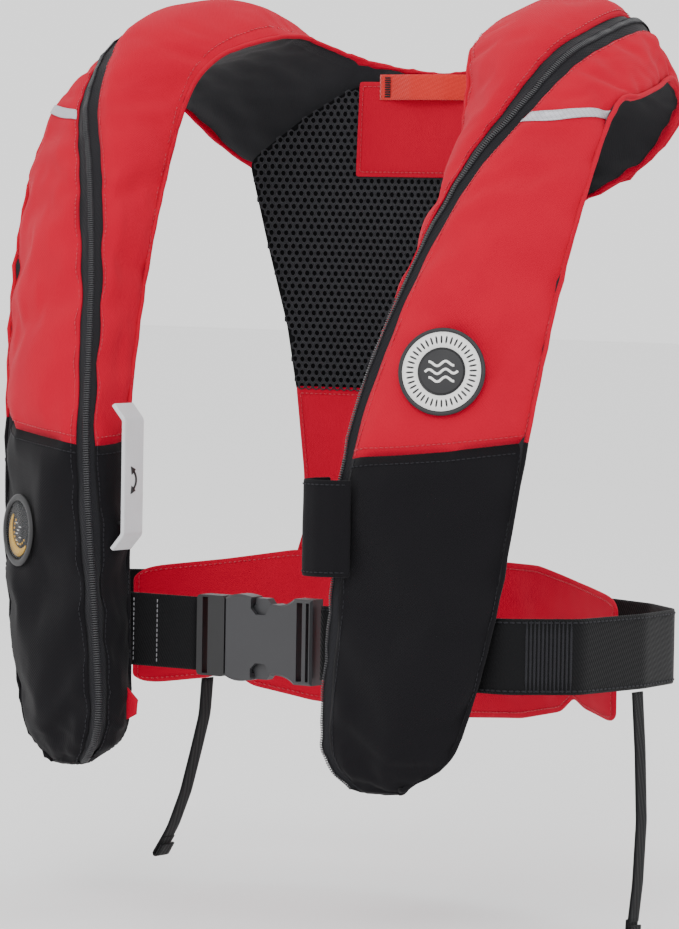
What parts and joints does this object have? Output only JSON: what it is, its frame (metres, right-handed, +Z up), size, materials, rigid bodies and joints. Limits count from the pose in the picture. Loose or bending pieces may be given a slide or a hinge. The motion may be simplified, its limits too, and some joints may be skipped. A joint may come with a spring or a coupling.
{
  "type": "inflatable life jacket",
  "caption": "Horse-collar inflatable life jacket with zip cover, mesh back, hip pad, waist belt with side-release buckle, pull handle and hidden gas and oral inflation gear.",
  "frame": {"origin": "on the wearer's neck axis, at the height of the back neckline", "axes": "+Z up the wearer, -Y to the wearer's front, +X to the wearer's left"},
  "size_m": [0.5042, 0.3305, 0.63],
  "materials": {
    "red_nylon": "woven 420 denier nylon, matt",
    "black_nylon": "woven 420 denier nylon, matt",
    "lining_nylon": "smooth packcloth, matt",
    "spacer_mesh": "knitted polyester spacer mesh",
    "zip_tape": "woven zip tape with moulded coil",
    "belt_web": "woven polyester webbing",
    "loop_web": "woven nylon webbing",
    "reflective_tape": "retroreflective tape",
    "acetal": "moulded acetal, satin",
    "badge_rubber": "moulded soft PVC",
    "window_pvc": "clear PVC film",
    "window_rim": "moulded PVC",
    "handle_plastic": "moulded nylon with light grey wrap",
    "yellow_plastic": "moulded nylon",
    "black_plastic": "moulded glass-filled nylon",
    "steel": "stainless steel",
    "cylinder_steel": "zinc-plated and lacquered steel",
    "bladder_film": "urethane-coated nylon, welded",
    "seal_rubber": "moulded EPDM",
    "whistle_plastic": "moulded ABS"
  },
  "bodies": {
    "vest": {"back_mesh_panel": "spacer_mesh", "badge": "badge_rubber", "belt_webbing": "belt_web", "buckle_female": "acetal", "cylinder_gasket": "seal_rubber", "hanging_loop": "loop_web", "hip_pad": "red_nylon", "inflation_bladder": "bladder_film", "inflator_body": "black_plastic", "left_adjuster_tail": "belt_web", "left_front_cover_lower": "black_nylon", "left_front_cover_upper": "red_nylon", "left_inner_cover_lower": "black_nylon", "left_inner_cover_upper": "red_nylon", "left_lobe_lining": "lining_nylon", "left_reflective_strip": "reflective_tape", "left_tail_stop": "belt_web", "left_zip": "zip_tape", "lower_back_panel": "red_nylon", "manifold_flange": "black_plastic", "manifold_nut": "steel", "oral_tube": "black_plastic", "oral_valve_body": "black_plastic", "red_pull_tab": "red_nylon", "right_front_cover_lower": "black_nylon", "right_front_cover_upper": "red_nylon", "right_inner_cover_lower": "black_nylon", "right_inner_cover_upper": "red_nylon", "right_lobe_lining": "lining_nylon", "right_reflective_strip": "reflective_tape", "right_zip": "zip_tape", "sensor_cap": "yellow_plastic", "sensor_cartridge": "black_plastic", "whistle": "whistle_plastic", "window_frame": "window_rim", "window_lens": "window_pvc", "yoke_panel": "red_nylon", "zip_garage_flap": "black_nylon"},
    "buckle_male": {"buckle_male": "acetal", "belt_front_strap": "belt_web", "right_adjuster_tail": "belt_web", "right_tail_stop": "belt_web"},
    "prong_upper": {"buckle_prong_upper": "acetal"},
    "prong_lower": {"buckle_prong_lower": "acetal"},
    "handle": {"pull_handle": "handle_plastic", "handle_lanyard": "belt_web"},
    "lever": {"inflator_lever": "black_plastic"},
    "pin": {"piercing_pin": "steel"},
    "gas_cylinder": {"co2_cylinder": "cylinder_steel"},
    "slider": {"zip_slider": "steel"},
    "puller": {"zip_puller": "steel"},
    "poppet": {"valve_poppet": "black_plastic"},
    "dust_cap": {"dust_cap": "black_plastic"}
  },
  "joints": [
    {"name": "buckle_release", "type": "slide", "parent": "vest", "child": "buckle_male", "axis": [-1, 0, 0], "range_m": [0, 0.034], "deforming": ["buckle_prong_upper", "buckle_prong_lower"]},
    {"name": "prong_squeeze_upper", "type": "hinge", "parent": "buckle_male", "child": "prong_upper", "pos_m": [-0.0136, -0.081, -0.3655], "axis": [0, 1, 0], "range_deg": [0, 7], "stiffness_Nm_per_rad": 0.3},
    {"name": "prong_squeeze_lower", "type": "hinge", "parent": "buckle_male", "child": "prong_lower", "pos_m": [-0.0136, -0.081, -0.4045], "axis": [0, -1, 0], "range_deg": [0, 7], "stiffness_Nm_per_rad": 0.3},
    {"name": "handle_pull", "type": "slide", "parent": "vest", "child": "handle", "axis": [1, 0, 0], "range_m": [0, 0.045]},
    {"name": "lever_swing", "type": "hinge", "parent": "vest", "child": "lever", "pos_m": [-0.108, -0.107, -0.301], "axis": [0, -1, 0], "range_deg": [0, 50]},
    {"name": "pin_pierce", "type": "slide", "parent": "vest", "child": "pin", "axis": [0, 0, -1], "range_m": [0, 0.003]},
    {"name": "cylinder_unscrew", "type": "hinge", "parent": "vest", "child": "gas_cylinder", "pos_m": [-0.124, -0.107, -0.326], "axis": [0, 0, -1], "range_deg": [0, 1080]},
    {"name": "zip_slide", "type": "slide", "parent": "vest", "child": "slider", "axis": [0.0782, -0.0098, 0.9969], "range_m": [0, 0.05]},
    {"name": "puller_swing", "type": "hinge", "parent": "slider", "child": "puller", "pos_m": [0.09379, -0.13665, -0.31663], "axis": [0.8522, -0.5183, -0.0719], "range_deg": [0, 17]},
    {"name": "valve_press", "type": "slide", "parent": "vest", "child": "poppet", "axis": [0, 0, 1], "range_m": [0, 0.003], "stiffness_N_per_m": 300},
    {"name": "dust_cap_pull", "type": "slide", "parent": "vest", "child": "dust_cap", "axis": [0, 0, -1], "range_m": [0, 0.014]}
  ],
  "couplings": [
    {"joint": "prong_squeeze_lower", "follows": "prong_squeeze_upper", "ratio": 1},
    {"joint": "lever_swing", "follows": "handle_pull", "rad_per_m": 19.3},
    {"joint": "pin_pierce", "follows": "handle_pull", "ratio": 0.0666}
  ]
}
